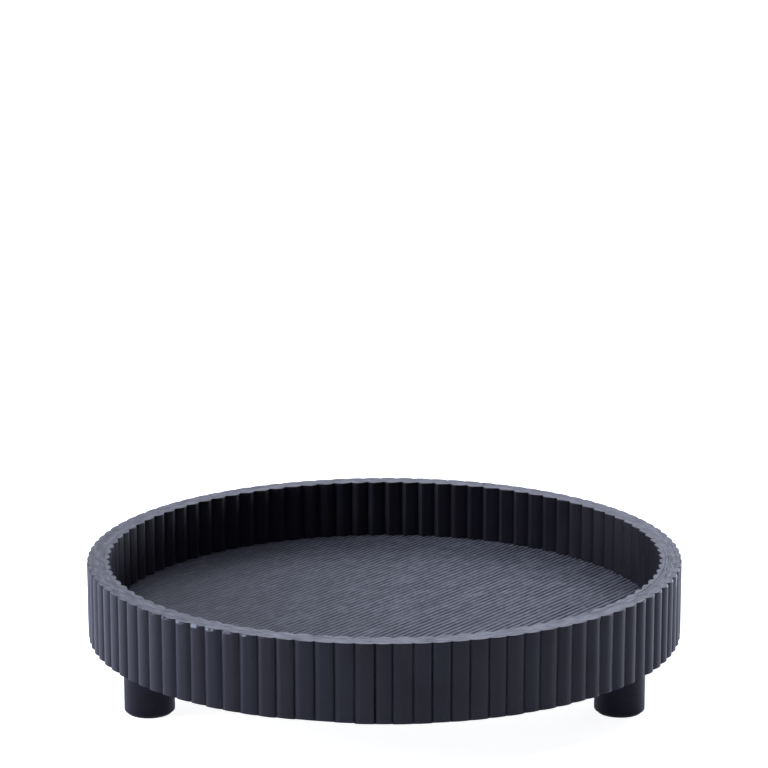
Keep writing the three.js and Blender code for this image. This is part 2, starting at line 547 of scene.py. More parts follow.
# %% Floor of the stage
STAGE_RADIUS = 7.0
STAGE_SIDES = 96
turn = np.linspace(0, 2 * math.pi, STAGE_SIDES, endpoint=False)
disc = np.stack([STAGE_RADIUS * np.cos(turn), STAGE_RADIUS * np.sin(turn), np.zeros_like(turn)], axis=-1)
stage_mesh = bpy.data.meshes.new("stage_floor")
stage_mesh.from_pydata(disc.tolist(), [], [list(range(STAGE_SIDES))])
stage_mesh.materials.append(make_stage_material())
stage_floor = add_object("stage_floor", stage_mesh)
print(f"stage floor {2 * STAGE_RADIUS:.0f} m across")

# %% Sky
SKY_LIGHT = 0.04
SKY_SHINE = 0.88
DARK_SIDE = 0.10
SKY_RAMP = (-0.5, 0.3)
world = bpy.data.worlds.new("studio")
bpy.context.scene.world = world
world.use_nodes = True
sky_tree = world.node_tree
sky_way = sky_tree.nodes.new("ShaderNodeTexCoord").outputs["Generated"]
backdrop = fit_range(sky_tree, parts_of(sky_tree, sky_way)[1], *SKY_RAMP, DARK_SIDE, SKY_SHINE)
sky_shine = mix_values(sky_tree, sees_white(sky_tree), SKY_LIGHT, backdrop)
sky_to_camera = camera_ray(sky_tree)
sky_look = {
    "Color": mix_colours(sky_tree, sky_to_camera, SKY_TINT, WHITE),
    "Strength": mix_values(sky_tree, sky_to_camera, sky_shine, 1.0),
}
feed_all(sky_tree, sky_tree.nodes["Background"], sky_look)
print("sky lights at", SKY_LIGHT)


# %% Soft lamps
def soft_lamp(name, place, width, height, watts):
    """A rectangular area lamp that looks at the middle of the tray."""
    lamp_data = bpy.data.lights.new(name, "AREA")
    lamp_data.shape = "RECTANGLE"
    lamp_data.size = width
    lamp_data.size_y = height
    lamp_data.energy = watts
    lamp_data.color = SKY_TINT[:3]
    lamp = add_object(name, lamp_data)
    lamp.location = place
    away = lamp.location.normalized()
    lamp.rotation_euler = away.to_track_quat("Z", "Y").to_euler()


soft_lamp("lamp_left", place=(-1.1, 0.25, 0.10), width=1.2, height=0.16, watts=4.1)
soft_lamp("lamp_right", place=(1.07, 0.9, 0.125), width=1.4, height=0.21, watts=19)
soft_lamp("lamp_high_left", place=(-1.3, -0.25, 0.63), width=0.7, height=0.7, watts=17)
soft_lamp("lamp_rear", place=(0.3, 1.9, 1.6), width=1.4, height=1.4, watts=20)
soft_lamp("lamp_top", place=(0.0, 0.05, 2.0), width=1.2, height=1.2, watts=22)
print("five soft lamps look at the tray")

# %% [markdown]
# ## Finish a piece
#
# Each new surface stands for one solid, gets its finish and rides on the tray's only body.


def dress(piece, node, material):
    """Gives a piece its finish and puts it in the place of a solid."""
    piece.data.materials.append(material)
    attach(piece, "root")
    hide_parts(node)


def store(piece, name, values):
    """Stores one number for each point of a piece's mesh."""
    layer = piece.data.attributes.new(name, "FLOAT", "POINT")
    layer.data.foreach_set("value", np.asarray(values, np.float32).ravel())


# %% [markdown]
# ## The slats
#
# The wall is two rows of slats with arched faces, glued side by side on a bent hoop. The last slat of the
# outer row, at the front, was planed narrower to close the row. A slat could be one profile, copied round
# the tray, but then every slat would be the same. Here all slats of a strip are worked out at once with
# their own widths, depths and waves, so that the grooves wander a little as they do on the real wall.

# %% Where the grooves lie
SLATS_PER_STRIP = 5
FRONT = math.radians(-90)
CLOSING_START = math.radians(-91.67)
CLOSING_WIDTH = math.radians(3.07)
CLOSING_DRIFT = 0.3
GROOVE_DRIFT = math.radians(0.07)
TIGHTEST = math.radians(1.5)
TIGHT_STRETCH = np.radians([-84, -45, -20, 240])
TIGHT_SHARE = [0, 1, 1, 0]


def groove_angles(count, start, first_width, tight, seed):
    """Angles of the grooves of a row: one first slat of a given width, the rest alike, each a bit off.

    To the right of the front the slats sit tighter, and the row makes up for it over the rest of the circle.
    """
    other_width = (2 * math.pi - first_width) / (count - 1)
    angles = np.concatenate([[start], start + first_width + other_width * np.arange(count)])
    angles -= tight * np.interp(angles, TIGHT_STRETCH, TIGHT_SHARE)
    drift = np.random.default_rng(seed).normal(0, GROOVE_DRIFT, count)
    drift = np.clip(drift, -2 * GROOVE_DRIFT, 2 * GROOVE_DRIFT)
    drift[:2] *= CLOSING_DRIFT
    return angles + np.append(drift, drift[0])


outer_strips, inner_strips = named("outer_slats"), named("inner_slats")
outer_count = SLATS_PER_STRIP * len(outer_strips)
inner_count = SLATS_PER_STRIP * len(inner_strips)
inner_pitch = 2 * math.pi / inner_count
outer_grooves = groove_angles(outer_count, CLOSING_START, CLOSING_WIDTH, TIGHTEST, seed=11)
inner_grooves = groove_angles(inner_count, FRONT - inner_pitch / 2, inner_pitch, 0.0, seed=12)
print(f"{outer_count} outer slats and {inner_count} inner slats")

# %% [markdown]
# Each row is a small table. The web is a slat's thickness at its grooves and the arch is the fall of its
# face from the crest. Where the faces are flatter, by a share round a few angles, the web is fuller and the
# arch is less. The power says how round a face is, the lean how far its crest moves aside, and rubbed
# whether the row has the wear and the wide shoulders of the outside.

# %% Two rows of slats
outer_back, outer_crest = reach(outer_strips[1])
inner_crest, inner_back = reach(inner_strips[1])
outer_row = {
    "grooves": outer_grooves,
    "back": outer_back * math.cos(math.pi / outer_count),
    "crest": outer_crest,
    "web": 1.35 * MM,
    "fuller": 0.6 * MM,
    "arch": 1.9 * MM,
    "power": 2.0,
    "flatter": 1.3 * MM,
    "flat_at": (
        (FRONT, math.radians(25), 0.8),
        (math.radians(40), math.radians(38), 1.0),
        (math.radians(140), math.radians(38), 1.0),
    ),
    "lean": 0.0,
    "rubbed": 1.0,
    "levels": levels(outer_strips[0]),
    "seed": 21,
}
inner_row = {
    "grooves": inner_grooves,
    "back": inner_back * math.cos(math.pi / inner_count),
    "crest": inner_crest,
    "web": 0.8 * MM,
    "fuller": 1.6 * MM,
    "arch": 2.6 * MM,
    "power": 1.25,
    "flatter": 1.6 * MM,
    "flat_at": ((0.0, math.radians(45), 0.5), (math.pi, math.radians(55), 0.6)),
    "lean": 0.45,
    "rubbed": 0.0,
    "levels": levels(inner_strips[0]),
    "seed": 22,
}
for row in (outer_row, inner_row):
    print(f"slats from {row['back'] / MM:.2f} to {row['crest'] / MM:.2f} mm")

# %% Section of a slat
FACE_POINTS = 23
SHOULDER_POWER = 1.6
face_share = np.sin(math.pi / 2 * np.linspace(-1, 1, FACE_POINTS))


def slat_section(power, lean, half_width, back_half_width, depth, web, arch, shoulder_start, back_chamfer):
    """Points round each slat's section, as sideways and outward distances.

    Sideways the face goes from one groove to the other. From its crest it falls with a power of the way to
    the groove, 2 for a round face and little more than 1 for two nearly flat ones. Past the start of a
    shoulder it falls further with the power 1.6 of the way left. The back is flat with chamfered corners.
    """
    lean = lean[:, None]
    side = (face_share - lean) / np.where(face_share < lean, 1 + lean, 1 - lean)
    start = np.where(side < 0, shoulder_start[0][:, None], shoulder_start[1][:, None])
    past = np.clip((np.abs(side) - start) / (1 - start), 0, 1)
    shoulder_fall = (depth - arch - web)[:, None]
    across = half_width[:, None] * face_share
    fall = arch[:, None] * np.abs(side) ** power
    out = depth[:, None] - fall - shoulder_fall * past**SHOULDER_POWER
    corner = back_half_width - back_chamfer
    back_across = np.stack([back_half_width, corner, -corner, -back_half_width], axis=-1)
    back_out = np.stack([back_chamfer, 0 * corner, 0 * corner, back_chamfer], axis=-1)
    return np.concatenate([across, back_across], axis=1), np.concatenate([out, back_out], axis=1)


print(f"{FACE_POINTS} points across a slat's face")

# %% [markdown]
# The section is carried up the slat in loops. At the upper end the face draws in along a quarter turn, which
# rounds the rim's edge between the grooves, and a smaller loop and a centre point close both ends. The
# rim was sanded after the slats were glued, so slats and hoop share one slightly uneven level. On the right
# of the tray the joints stand open, and on the left of the front the edge is knocked, so both depend on
# the angle.

# %% The rim's level, its open joints and its knocks
SANDED = 0.04 * MM
SANDED_WAVES = 18
OPEN_JOINTS = math.radians(-16)
OPEN_WIDTH = math.radians(24)
NICKS = np.radians([-115.6, -113.4])
NICK_WIDTH = math.radians(0.22)


def rim_drop(angle):
    """How far the sanded rim lies under its highest level, from a noise over the circle."""
    return SANDED * (1 + smooth_noise(SANDED_WAVES * np.cos(angle), SANDED_WAVES * np.sin(angle), 71))


def open_share(angle):
    """How far the joints stand open, from 0 to 1."""
    return bump_at(angle, OPEN_JOINTS, OPEN_WIDTH)


def nick_share(angle):
    """How deep a knock has dented the rim's edge, from 0 to 1."""
    return bump_at(np.asarray(angle)[..., None], NICKS, NICK_WIDTH).sum(axis=-1)


print(f"{len(NICKS)} nicks, joints open round {math.degrees(OPEN_JOINTS):.0f} degrees")

# %% Loops up a slat
BODY_LOOPS = 7
END_SHRINK = np.array([0.96, 0.7])
round_turn = np.radians([0, 30, 60, 90])
first_round = BODY_LOOPS + len(END_SHRINK)
loop_count = first_round + len(round_turn) + len(END_SHRINK)
loop_number = np.arange(loop_count)
is_round = (loop_number > first_round) & (loop_number < loop_count - len(END_SHRINK))
is_top = loop_number >= loop_count - len(END_SHRINK) - 1
whole = np.ones(BODY_LOOPS + len(round_turn))
loop_shrink = np.concatenate([END_SHRINK[::-1], whole, END_SHRINK])


def slat_levels(low, high, edge_round):
    """Level and face inset of every point: two end loops, the body, the rounded edge and two end loops.

    The rounded edge follows a quarter turn: the inset is one minus its cosine and the level its sine, both
    times the edge's rounding, which is given for every slat and section point.
    """
    quarter = round_turn[None, :, None]
    edge_round = edge_round[:, None, :]
    body_share = np.linspace(0, 1, BODY_LOOPS)[None, :, None]
    body = low + (high - edge_round - low) * body_share
    edge = high - edge_round * (1 - np.sin(quarter))
    edge_inset = edge_round * (1 - np.cos(quarter))
    start = body[:, :1] + 0 * body[:, :2]
    end = edge[:, -1:] + 0 * edge[:, :2]
    level = np.concatenate([start, body, edge, end], axis=1)
    inset = np.concatenate([0 * start, 0 * body, edge_inset, edge_round + 0 * end], axis=1)
    return level, inset


print(loop_count, "loops up a slat")

# %% [markdown]
# No two stretches of the wall look the same. To the left of the front the outer slats have a wide left
# shoulder, to the right a wide right one, and the rim's edge is rubbed round on the same half. The crests
# of the inner slats lean toward the middle of the rear. So these shares are bells over the angle.

# %% Faces of the slats of a strip
JOINT = 0.01 * MM
OPEN_JOINT = 0.07 * MM
SHOULDER = 0.64
LEAST_ARCH = 0.45 * MM
LEFT_FLATTER = 0.7 * MM
LEFT_SHOULDERS = (math.radians(-112), math.radians(34))
RIGHT_SHOULDERS = (math.radians(-38), math.radians(28))
KNOCKED_EDGE = math.radians(-124)
KNOCKED_LEAN = (KNOCKED_EDGE, math.radians(20))
LEAN_MIDDLE = math.radians(101)


def slat_faces(row, start, end, rng):
    """Sections of the slats between the angles of their grooves, with their half widths, depths and webs.

    Each slat is a little shallower than the solid's, and each shoulder starts at a place of its own. The
    lean follows five times the sine of the way to the middle of the rear, held between -0.3 and 1.
    """
    angle = (start + end) / 2
    outward = np.sign(row["crest"] - row["back"])
    flat = sum(share * bump_at(angle, centre, width) for centre, width, share in row["flat_at"])
    web = row["web"] + row["fuller"] * flat
    wide_left = row["rubbed"] * bump_at(angle, *LEFT_SHOULDERS) * (angle > math.pi)
    wide_right = row["rubbed"] * bump_at(angle, *RIGHT_SHOULDERS)
    arch = np.maximum(row["arch"] - row["flatter"] * flat - LEFT_FLATTER * wide_left, LEAST_ARCH)
    groove_distance = row["back"] + outward * web
    joint = JOINT + OPEN_JOINT * open_share(angle)
    half_width = groove_distance * np.tan((end - start) / 2) - joint
    back_half_width = half_width * row["back"] / groove_distance
    depth = np.abs(row["crest"] - row["back"]) * (1 - rng.uniform(0.004, 0.03, SLATS_PER_STRIP))
    uneven = rng.uniform(-0.05, 0.05, (2, SLATS_PER_STRIP))
    shoulder_start = SHOULDER + uneven - np.stack([0.38 * wide_left, 0.10 * wide_right])
    lean = row["lean"] * np.clip(5 * np.sin(LEAN_MIDDLE - angle), -0.3, 1)
    lean -= 0.28 * row["rubbed"] * bump_at(angle, *KNOCKED_LEAN)
    chamfer = (0.03 + 0.55 * open_share(angle)) * MM
    widths = (half_width, back_half_width)
    across, out = slat_section(row["power"], lean, *widths, depth, web, arch, shoulder_start, chamfer)
    return across, out, half_width, depth, web


# %% Rubbed upper edge of the slats of a strip
KNOCKED_RUB = (KNOCKED_EDGE, math.radians(13))
RUBBED_RIGHT = (math.radians(-26), math.radians(16))
EDGE_ROUND = 0.35 * MM
KNOCKED_ROUND = 1.5 * MM
RUBBED_ROUND = 0.6 * MM


def rubbed_edge(row, angle, side):
    """How far the left halves of the upper edges are knocked, from 0 to 1, and how round the edges are.

    The side goes from -1 at one groove to 1 at the other. The left half is knocked left of the front, and
    the right half is rubbed right of it.
    """
    knocked = row["rubbed"] * bump_at(angle, *KNOCKED_RUB)
    rub_left = knocked[:, None] * np.clip((0.5 - side) / 0.4, 0, 1) * np.clip((side + 0.95) / 0.3, 0, 1)
    softened = row["rubbed"] * bump_at(angle, *RUBBED_RIGHT)
    rub_right = softened[:, None] * np.clip((side + 0.5) / 0.8, 0, 1)
    return rub_left, EDGE_ROUND + KNOCKED_ROUND * rub_left + RUBBED_ROUND * rub_right


# %% Points of a strip of slats
SIDE_WAVE = 0.08 * MM
FACE_HOLLOW = 0.05 * MM
NICK_DEPTH = 0.5 * MM
NICK_DROP = 0.4 * MM
MOST_LIFT = 0.25 * MM
SHORT_SLATS = (math.radians(-102.5), math.radians(6))
SHORTER_BY = 0.9 * MM
EASED_END = 0.45 * MM


def slat_strip(row, strip_number):
    """All points of the slats of one strip, as an array of slat, loop, section point and x, y, z.

    A point stands at the slat's angle, at the back's distance plus its outward share, and beside it by its
    sideways share. Each slat waves sideways as it rises, and its face is hollow in places. The lower ends
    stand at slightly different levels, and outside they are eased toward the crest.
    """
    slat = strip_number * SLATS_PER_STRIP + np.arange(SLATS_PER_STRIP)
    start, end = row["grooves"][slat], row["grooves"][slat + 1]
    angle = (start + end) / 2
    outward = np.sign(row["crest"] - row["back"])
    rng = np.random.default_rng([row["seed"], strip_number])
    across, out, half_width, depth, web = slat_faces(row, start, end, rng)
    rub_left, edge_round = rubbed_edge(row, angle, across / half_width[:, None])
    low, high = row["levels"]
    level, inset = slat_levels(low, high, edge_round)
    crown = np.clip((out - web[:, None]) / (depth - web)[:, None], 0, 1)[:, None, :]
    out = out[:, None, :] - inset * crown
    middle = depth[:, None, None] / 2
    shrink = loop_shrink[None, :, None]
    across, out = across[:, None, :] * shrink, middle + (out - middle) * shrink
    height_share = np.linspace(0, 4, loop_count)
    wave = smooth_noise(slat[:, None] * 3.7, height_share, row["seed"] + 50)[:, :, None]
    across = across + SIDE_WAVE * wave * ~is_top[None, :, None]
    hollow = smooth_noise(slat[:, None] * 2.3, 1.4 * height_share, row["seed"] + 60)[:, :, None]
    out = out - FACE_HOLLOW * np.abs(hollow) * crown
    distance = row["back"] + outward * out
    point_angle = angle[:, None, None] + across / distance
    dent = nick_share(point_angle) * is_round[None, :, None] * crown * (outward > 0)
    distance = distance - NICK_DEPTH * dent
    cosine, sine = np.cos(angle)[:, None, None], np.sin(angle)[:, None, None]
    x = distance * cosine - across * sine
    y = distance * sine + across * cosine
    lift = rng.uniform(0, MOST_LIFT, SLATS_PER_STRIP)
    lift += row["rubbed"] * SHORTER_BY * bump_at(angle, *SHORT_SLATS)
    lift = lift[:, None, None] + row["rubbed"] * EASED_END * crown
    upward = (level - low) / (high - low)
    z = level + lift * (1 - upward) - rim_drop(point_angle) * upward - NICK_DROP * dent
    return np.stack([x, y, z], axis=-1), point_angle, crown, rub_left[:, None, :]


sample_points = slat_strip(outer_row, 0)[0]
print("a strip has", sample_points[..., 0].size, "points before its ends are closed")

# %% Mesh of a strip of slats
TINT_SEEDS = 900
LEAST_WEAR = 0.10
KNOCKED_WEAR = 0.55
NICKED_WEAR = 0.7


def with_ends(values, at_ends):
    """Values of every point of each slat, with those of its two end points behind them, in one line."""
    count = values.shape[0]
    ends = np.broadcast_to(at_ends, (count, 2))
    return np.concatenate([values.reshape(count, -1), ends], axis=1).ravel()


def strip_mesh(name, row, strip_number):
    """One object with the closed slats of a strip, and the numbers that its paint reads."""
    points, point_angle, crown, rubbed = slat_strip(row, strip_number)
    count, loops, columns, _ = points.shape
    ends = points[:, [0, -1]].mean(axis=2)
    each = np.concatenate([points.reshape(count, -1, 3), ends], axis=1)
    quads = grid_quads(loops, columns, wrap_columns=True)
    ring = np.arange(columns)
    lower_fan = fan(ring[::-1], loops * columns)
    upper_fan = fan(ring + (loops - 1) * columns, loops * columns + 1)
    triangles = np.concatenate([lower_fan, upper_fan])
    step = each.shape[1] * np.arange(count)[:, None, None]
    all_quads = (quads + step).reshape(-1, 4)
    all_triangles = (triangles + step).reshape(-1, 3)
    piece = closed_mesh(name, each.reshape(-1, 3), all_quads, all_triangles)
    tint = np.random.default_rng([row["seed"], TINT_SEEDS + strip_number]).uniform(0.0, 1.0, count)
    store(piece, "tint", np.repeat(tint, each.shape[1]))
    edge = is_round[None, :, None] * crown
    store(piece, "edge", with_ends(edge + 0 * point_angle, 0.0))
    top = is_top[None, :, None] + 0 * point_angle
    store(piece, "top", with_ends(top, [0.0, 1.0]))
    wear = LEAST_WEAR + KNOCKED_WEAR * rubbed + NICKED_WEAR * nick_share(point_angle)
    store(piece, "wear", with_ends(wear, 0.0))
    return piece


# %% [markdown]
# ## Paint for the slats
#
# The slats were brushed lengthwise, so the strokes are long and upright. The tint that each slat stores
# makes one a little bluer and the next a little browner. Inside the tray the paint is thinner and paler. The
# upper ends carry the rim's film, and the upper edges are pale where they are worn. The mesh could be cut
# into parts for this, but stored numbers let one material do it with soft borders.


# %% Slat paint
PAINT_IOR = 1.38
THIN_COOL = (0.0090, 0.0092, 0.0152, 1.0)
THIN_WARM = (0.0112, 0.0092, 0.0145, 1.0)
RIM_DUST = (0.050, 0.052, 0.060, 1.0)
PALE_PRIMER = (0.24, 0.25, 0.28, 1.0)
UPRIGHT_STROKE = (0.0012, 0.0012, 0.03)
EDGE_ROUGHNESS = 0.62
FILM_DEPTH = 0.00010


def make_slat_paint(name, cool, warm):
    """Brushed paint with upright strokes on the faces and the rim's film on top, pale at worn edges."""
    material, tree, shader = new_material(name, {"IOR": PAINT_IOR})
    place = ring_place(tree)
    tint, edge, wear, top = (attribute_value(tree, name) for name in ("tint", "edge", "wear", "top"))
    paint = brush_on(tree, place, UPRIGHT_STROKE, tint, cool, warm)
    film = use_group(tree, rim_film, Place=place)
    worn = use_group(tree, worn_edge, Place=place, Edge=edge, Wear=wear)
    dusty = mix_colours(tree, compute(tree, "MULTIPLY", film["Dust"], top), paint["Colour"], RIM_DUST)
    smooth = mix_values(tree, top, paint["Roughness"], film["Roughness"])
    look = {
        "Base Color": mix_colours(tree, worn["Mask"], dusty, PALE_PRIMER),
        "Roughness": mix_values(tree, edge, smooth, EDGE_ROUGHNESS),
    }
    feed_all(tree, shader, look)
    relief(tree, shader, mix_values(tree, top, paint["Height"], film["Height"]), FILM_DEPTH)
    return material


outer_paint = make_slat_paint("outer slat paint", COOL_BLACK, WARM_BLACK)
inner_paint = make_slat_paint("inner slat paint", THIN_COOL, THIN_WARM)
for number, node in enumerate(outer_strips):
    dress(strip_mesh(f"outer_reeds_{number + 1:02d}", outer_row, number), node, outer_paint)
for number, node in enumerate(inner_strips):
    dress(strip_mesh(f"inner_reeds_{number + 1:02d}", inner_row, number), node, inner_paint)
print("dressed", len(outer_strips) + len(inner_strips), "strips of slats")

# %% [markdown]
# ## The bent hoop
#
# Between the two rows of slats stands a hoop of two bent plies. Only its upper edge shows: fine rings where
# the plies meet, open on the right and filled with paint elsewhere, and one butt seam at the rear right
# where the plies end. Each ply is a section carried round a circle. Its upper corners are rounded more
# where the joints are open.

# %% Angles round the hoop
HOOP_STEPS = 480
even_angles = np.linspace(-math.pi, math.pi, HOOP_STEPS, endpoint=False)
seam_angles = BUTT_SEAM + np.radians(np.linspace(-0.7, 0.7, 15))
hoop_angles = np.sort(np.concatenate([even_angles, seam_angles]))
print(len(hoop_angles), "steps round the hoop")

# %% Points of a ply
TIGHT_CORNER = 0.02 * MM
OPEN_CORNER = 0.26 * MM
BESIDE_CORNER = 0.1 * MM
BEVEL = 0.3
NOTCH_DEPTH = 0.38 * MM
HALF_NOTCH = 0.16 * MM
SEAM_DIP = 0.5 * MM
SEAM_WIDTH = math.radians(0.16)
RAGGED_LENGTH = math.radians(2.5)


def ply_points(inside, outside, low, line_share, seed):
    """Points of one bent ply as an array of angle, section point and x, y, z.

    The section is a rectangle with rounded upper corners and a small notch along the ply line, which lies
    at a share of the way outwards. Both grow where the joints are open, and the top dips at the butt seam.
    """
    gape = open_share(hoop_angles)
    ragged = smooth_noise(hoop_angles / RAGGED_LENGTH, 0.0, seed)
    corner = TIGHT_CORNER + OPEN_CORNER * gape * (0.7 + 0.5 * ragged)
    bevel = BEVEL * corner
    beside = corner + BESIDE_CORNER
    notch = NOTCH_DEPTH * gape * np.clip(0.4 + ragged, 0, 1)
    top = rim_level - SEAM_DIP * bump_at(hoop_angles, BUTT_SEAM, SEAM_WIDTH) - rim_drop(hoop_angles)
    one = np.ones_like(hoop_angles)
    line = inside + line_share * (outside - inside)
    across = [inside * one, inside * one, inside + bevel, inside + corner, inside + beside]
    height = [low * one, top - corner, top - bevel, top, top]
    across += [(line - HALF_NOTCH) * one, line * one, (line + HALF_NOTCH) * one]
    height += [top, top - notch, top]
    across += [outside - beside, outside - corner, outside - bevel, outside * one, outside * one]
    height += [top, top, top - bevel, top - corner, low * one]
    across, height = np.stack(across, axis=-1), np.stack(height, axis=-1)
    x = across * np.cos(hoop_angles)[:, None]
    y = across * np.sin(hoop_angles)[:, None]
    return np.stack([x, y, height], axis=-1)


middle_joint = reach("outer_hoop")[0]
outer_low, inner_low = levels("outer_hoop")[0], levels("inner_hoop")[0]
outer_ply = ply_points(middle_joint, outer_row["back"] - JOINT, outer_low, line_share=0.25, seed=31)
inner_ply = ply_points(inner_back + JOINT, middle_joint - JOINT, inner_low, line_share=0.6, seed=33)
print(outer_ply.shape[1], "points round a ply's section")

# %% Paint for the hoop
ROUND_STROKE = (0.02, 0.002, 0.004)
HOOP_TINT_PATCH = (0.02, 0.02, 0.02)


def make_hoop_paint():
    """The rim's film over brushed paint with strokes round the ring."""
    material, tree, shader = new_material("hoop paint", {"IOR": PAINT_IOR})
    place = ring_place(tree)
    paint = brush_on(tree, place, ROUND_STROKE, stretched_noise(tree, place, HOOP_TINT_PATCH))
    film = use_group(tree, rim_film, Place=place)
    colour = mix_colours(tree, film["Dust"], paint["Colour"], RIM_DUST)
    feed_all(tree, shader, {"Base Color": colour, "Roughness": film["Roughness"]})
    relief(tree, shader, film["Height"], FILM_DEPTH)
    return material


hoop_paint = make_hoop_paint()
dress(ring_mesh("outer_ply", outer_ply), "outer_hoop", hoop_paint)
dress(ring_mesh("inner_ply", inner_ply), "inner_hoop", hoop_paint)
print("dressed the hoop's two plies")

# %% [markdown]
# ## The floor
#
# The floor is a round board with the fine curved lines that a large saw leaves, about 3.5 mm apart, under
# the paint. They rise from front left to rear right in flat arcs about a centre far off at the left rear.
# A bump map would show them only as shading. Here the rows of the grid follow the arcs themselves, a few
# rows to each line, so that the lines are real relief. They fade in and out along their length, are weaker
# at the left, and in places the paint fills them. The solid's outline has one flat side for each outer slat,
# and the board fits inside these sides.

# %% Arc coordinates of the floor
ARC_RADIUS = 4000 * MM
ARC_DIRECTION = math.radians(142)
LINE_PITCH = 3.5 * MM
ROWS_PER_LINE = 8
COLUMN_COUNT = 120
panel_radius = reach("floor_panel")[1] * math.cos(math.pi / outer_count)
row_count = int(2 * panel_radius / LINE_PITCH * ROWS_PER_LINE)
toward_centre = np.array([math.cos(ARC_DIRECTION), math.sin(ARC_DIRECTION)])
arc_centre = ARC_RADIUS * toward_centre
row_distance = ARC_RADIUS + np.linspace(-panel_radius, panel_radius, row_count + 2)[1:-1]
span_cosine = (ARC_RADIUS**2 + row_distance**2 - panel_radius**2) / (2 * ARC_RADIUS * row_distance)
half_span = np.arccos(np.clip(span_cosine, -1, 1))
column_share = np.sin(np.linspace(-math.pi / 2, math.pi / 2, COLUMN_COUNT))
arc_angle = ARC_DIRECTION + math.pi + half_span[:, None] * column_share
floor_x = arc_centre[0] + row_distance[:, None] * np.cos(arc_angle)
floor_y = arc_centre[1] + row_distance[:, None] * np.sin(arc_angle)
print(f"{row_count} rows of {COLUMN_COUNT} points on the floor")

# %% Relief of the floor's lines
LINE_DEPTH = 0.48 * MM
WANDER = 0.04
WANDER_LENGTH = 45 * MM
MEAN_STRENGTH = 0.74
SHORT_BREAK = 6 * MM
LONG_BREAK = 70 * MM
FILLED_LENGTH = 13 * MM
MOST_FILLED = 0.5
SIDE_REACH = 130 * MM
along_arc = ARC_RADIUS * (arc_angle - ARC_DIRECTION - math.pi)
line_number = (row_distance[:, None] - ARC_RADIUS) / LINE_PITCH + 0 * along_arc
wander = WANDER * smooth_noise(line_number / 5, along_arc / WANDER_LENGTH, 41)
crest_wave = np.sqrt(0.5 + 0.5 * np.cos(2 * math.pi * (line_number + wander)))
strength = MEAN_STRENGTH + 0.36 * smooth_noise(line_number, along_arc / SHORT_BREAK, 42)
strength += 0.16 * smooth_noise(line_number, along_arc / LONG_BREAK, 43)
thick_paint = smooth_noise(line_number / 2.5, along_arc / FILLED_LENGTH, 44)
filled = MOST_FILLED * np.clip((thick_paint - 0.1) / 0.5, 0, 1)
strength *= 1 - filled
across_floor = 0.86 + 0.22 * floor_x / SIDE_REACH
furrow = strength * across_floor * (1 - crest_wave)
floor_z = floor_level - LINE_DEPTH * furrow
print(f"relief from {(floor_z.min() - floor_level) / MM:.3f} to {(floor_z.max() - floor_level) / MM:.3f} mm")

# %% [markdown]
# The board's two ends, where the arcs shrink to nothing, are single points. Its edge is a ring of points
# taken from the grid's ends, carried down to the underside, which is filled flat round the screw holes.

# %% Mesh of the floor board
panel_low = levels("floor_panel")[0]


def floor_points():
    """Grid points, the two end points and the lower edge ring, with the ring's point numbers."""
    grid = np.stack([floor_x, floor_y, floor_z], axis=-1).reshape(-1, 3)
    tips = np.stack([toward_centre * panel_radius, -toward_centre * panel_radius])
    tips = np.column_stack([tips, np.full(2, floor_level - LINE_DEPTH)])
    first_tip, last_tip = len(grid), len(grid) + 1
    left = np.arange(row_count) * COLUMN_COUNT
    right = left + COLUMN_COUNT - 1
    ring = np.concatenate([[first_tip], right, [last_tip], left[::-1]])
    points = np.concatenate([grid, tips])
    under = points[ring] * np.array([1, 1, 0]) + np.array([0, 0, panel_low])
    return np.concatenate([points, under]), ring, first_tip, last_tip


def floor_mesh(name):
    """The top and the edge of the floor board, with the point numbers of its lower edge."""
    points, ring, first_tip, last_tip = floor_points()
    quads = grid_quads(row_count, COLUMN_COUNT)
    first_row = np.arange(COLUMN_COUNT)
    last_row = first_row + (row_count - 1) * COLUMN_COUNT
    start_fan = np.stack([first_row[1:], first_row[:-1], np.full(COLUMN_COUNT - 1, first_tip)], axis=-1)
    end_fan = np.stack([last_row[:-1], last_row[1:], np.full(COLUMN_COUNT - 1, last_tip)], axis=-1)
    lower = np.arange(len(ring)) + last_tip + 1
    side = np.stack([ring, lower, np.roll(lower, -1), np.roll(ring, -1)], axis=-1)
    mesh = bpy.data.meshes.new(name)
    faces = quads.tolist() + side.tolist() + start_fan.tolist() + end_fan.tolist()
    mesh.from_pydata(points.tolist(), [], faces)
    return mesh, lower


board_mesh, lower_ring = floor_mesh("floor_board")
print(len(board_mesh.polygons), "faces on the floor board's top and edge")

# %% Underside of the floor board
HOLE_SIDES = 24
HOLE_SPARE = 0.3 * MM
BOARD_SHARP_ANGLE = math.radians(50)
foot_nodes = [name for name in named("foot_") if name[5:].isdigit()]
foot_places = np.array([corners(name)[:, :2].mean(axis=0) for name in foot_nodes])
hole_top = max(levels(name)[1] for name in named("foot_screw")) + HOLE_SPARE
hole_radius = off_axis(foot_nodes[0], foot_places[0]).min()
hole_turn = np.linspace(0, 2 * math.pi, HOLE_SIDES, endpoint=False)
hole_ring = hole_radius * np.stack([np.cos(hole_turn), np.sin(hole_turn)], axis=-1)


